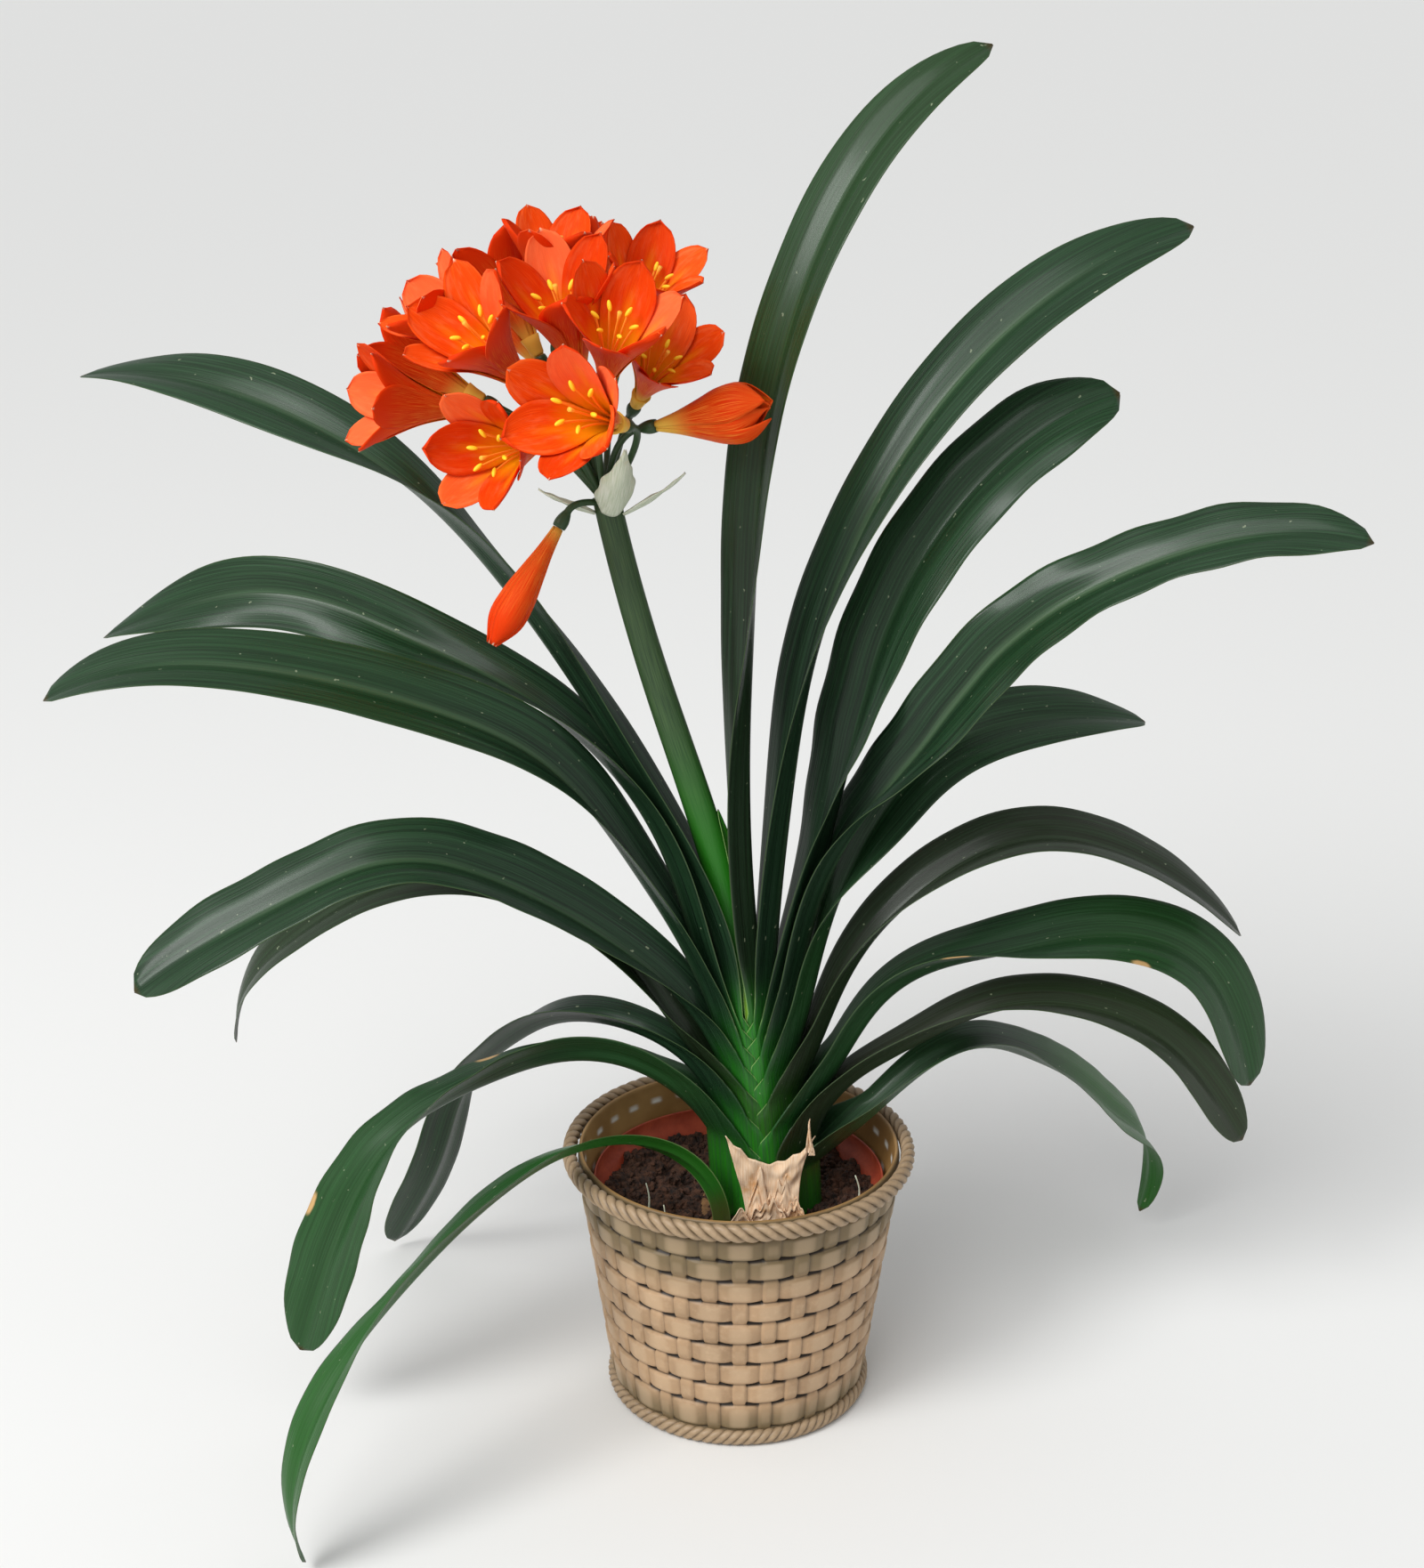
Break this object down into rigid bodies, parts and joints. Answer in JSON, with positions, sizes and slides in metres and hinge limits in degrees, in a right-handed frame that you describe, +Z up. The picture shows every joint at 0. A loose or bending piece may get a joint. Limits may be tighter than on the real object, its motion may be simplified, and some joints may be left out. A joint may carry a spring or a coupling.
{
  "type": "potted clivia",
  "caption": "Potted clivia: a two-ranked fan of strap leaves and an umbel of funnel flowers on a flattened stalk, in a nursery pot inside a woven-look cachepot.",
  "frame": {"origin": "centre of the cachepot's flat underside", "axes": "+Z up along the cachepot's axis, +X to the right along the fan of leaves, -Y towards the front"},
  "size_m": [0.6532, 0.3485, 0.7105],
  "materials": {
    "woven_plastic": "satin moulded plastic with an antique brown wash",
    "terracotta_plastic": "satin thin plastic",
    "peat": "damp crumbly peat",
    "old_stem": "rough old stem",
    "dry_leaf": "papery, dried",
    "leaf_green": "waxy, finely striated",
    "stalk_green": "waxy",
    "petal_orange": "soft satin petal",
    "papery_bract": "papery, translucent"
  },
  "bodies": {
    "root": {"cachepot": "woven_plastic", "nursery_pot": "terracotta_plastic", "soil": "peat", "crown": "old_stem", "dry_sheath": "dry_leaf", "leaf_young": "leaf_green", "leaf_right_1": "leaf_green", "leaf_right_2": "leaf_green", "leaf_right_3": "leaf_green", "leaf_right_4": "leaf_green", "leaf_right_5": "leaf_green", "leaf_right_6": "leaf_green", "leaf_right_7": "leaf_green", "leaf_right_8": "leaf_green", "leaf_right_9": "leaf_green", "leaf_left_1": "leaf_green", "leaf_left_2": "leaf_green", "leaf_left_3": "leaf_green", "leaf_left_4": "leaf_green", "leaf_left_5": "leaf_green", "leaf_left_6": "leaf_green", "leaf_left_7": "leaf_green", "leaf_left_8": "leaf_green", "flower_stalk": "stalk_green", "floret_01": "petal_orange", "floret_02": "petal_orange", "floret_03": "petal_orange", "floret_04": "petal_orange", "floret_05": "petal_orange", "floret_06": "petal_orange", "floret_07": "petal_orange", "floret_08": "petal_orange", "floret_09": "petal_orange", "floret_10": "petal_orange", "floret_11": "petal_orange", "floret_12": "petal_orange", "floret_13": "petal_orange", "floret_14": "petal_orange", "bud_half_open": "petal_orange", "bud_upright": "petal_orange", "bud_hanging": "petal_orange", "bract_1": "papery_bract", "bract_2": "papery_bract", "bract_3": "papery_bract"}
  },
  "joints": []
}
